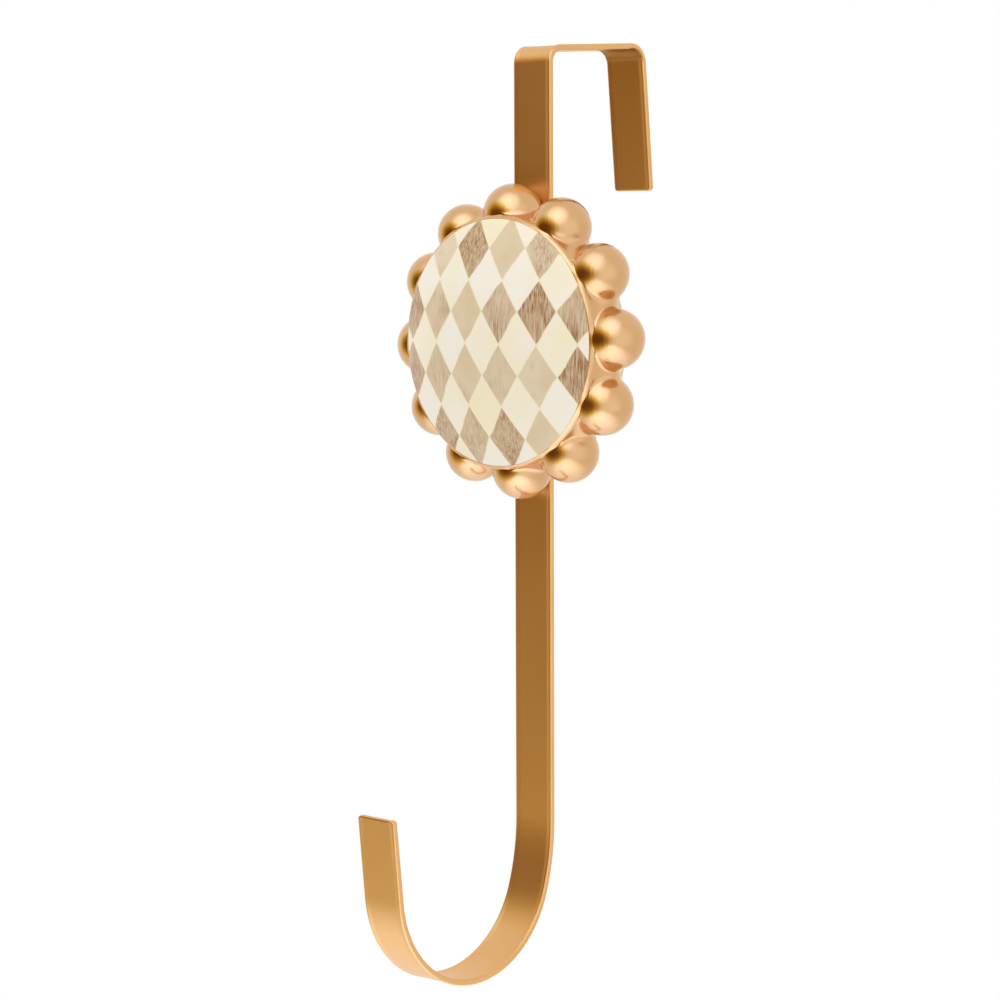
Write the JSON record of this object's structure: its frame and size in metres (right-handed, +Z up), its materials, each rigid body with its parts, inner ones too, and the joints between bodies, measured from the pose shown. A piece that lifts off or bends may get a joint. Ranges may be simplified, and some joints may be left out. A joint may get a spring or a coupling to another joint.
{
  "type": "wreath hanger",
  "caption": "Over-door wreath hanger: a bent flat bar with a rear clip and a J hook, and a round beaded medallion with a domed painted face on its front.",
  "frame": {"origin": "on the plane of the door's face, in the middle of the bar, level with the door's top edge", "axes": "+Z up, +X to the right seen from the front, -Y towards the viewer, +Y into the door"},
  "size_m": [0.1056, 0.1299, 0.3136],
  "materials": {
    "bar": "satin antique gold",
    "casting": "satin pale gold",
    "dome": "glossy glaze, painted in cream and taupe",
    "screws": "plain zinc"
  },
  "bodies": {
    "root": {"hanger_bar": "bar", "medallion_casting": "casting", "medallion_dome": "dome", "medallion_screws": "screws"}
  },
  "joints": []
}
